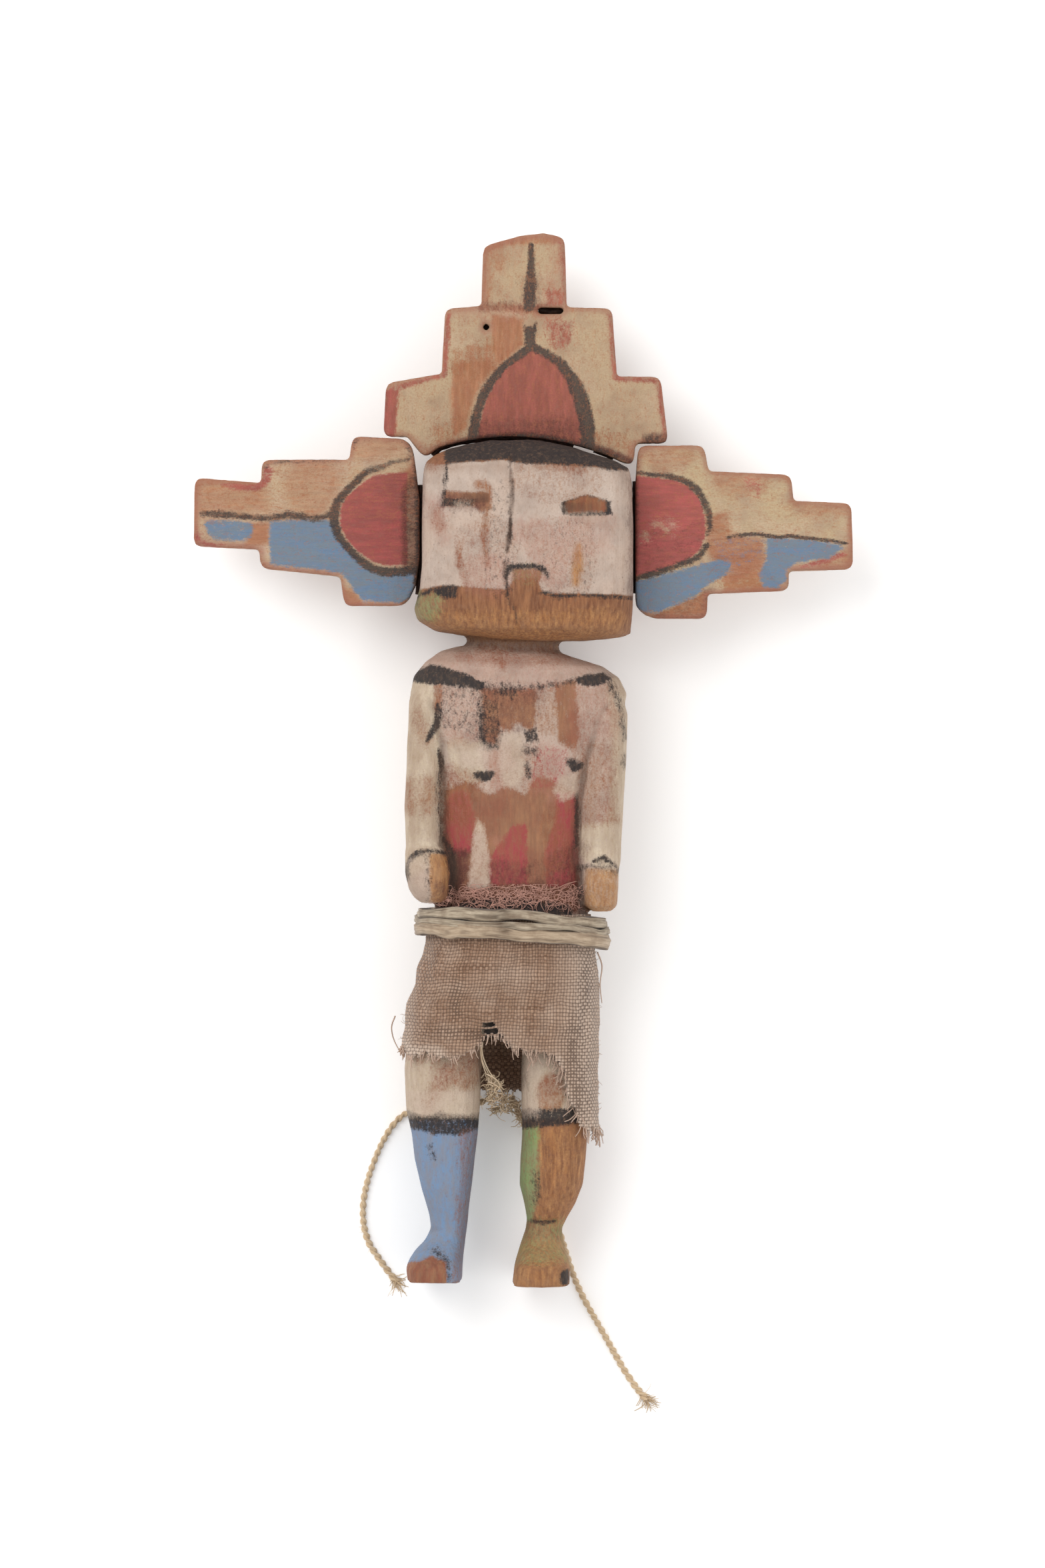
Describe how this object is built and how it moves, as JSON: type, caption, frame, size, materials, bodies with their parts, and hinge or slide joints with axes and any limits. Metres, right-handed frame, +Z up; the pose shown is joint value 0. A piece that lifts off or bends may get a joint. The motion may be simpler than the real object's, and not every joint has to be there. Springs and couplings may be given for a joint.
{
  "type": "kachina doll",
  "caption": "Carved and painted wooden doll with a stepped board headdress, wound waist band, cloth kilt and loose strings, lying on its back.",
  "frame": {"origin": "middle of the box round the doll without its strings, on the surface that it lies on", "axes": "+Y from the feet to the crown, +Z up towards the face, +X to the right of someone who looks down on the face"},
  "size_m": [0.1414, 0.2517, 0.0367],
  "materials": {
    "painted_figure": "carved cottonwood root, worn white, red, blue, green and black earth paint",
    "painted_board": "thin carved board, worn cream, red, blue and black earth paint",
    "band_cotton": "soiled white cotton strip, wound",
    "kilt_cotton": "coarse plain-woven cotton, faded brown, frayed",
    "cotton_string": "two-ply cotton string, undyed"
  },
  "bodies": {
    "root": {"figure": "painted_figure", "headdress_top": "painted_board", "headdress_left": "painted_board", "headdress_right": "painted_board", "waist_band": "band_cotton", "kilt": "kilt_cotton", "cord_left": "cotton_string", "cord_right": "cotton_string"}
  },
  "joints": []
}
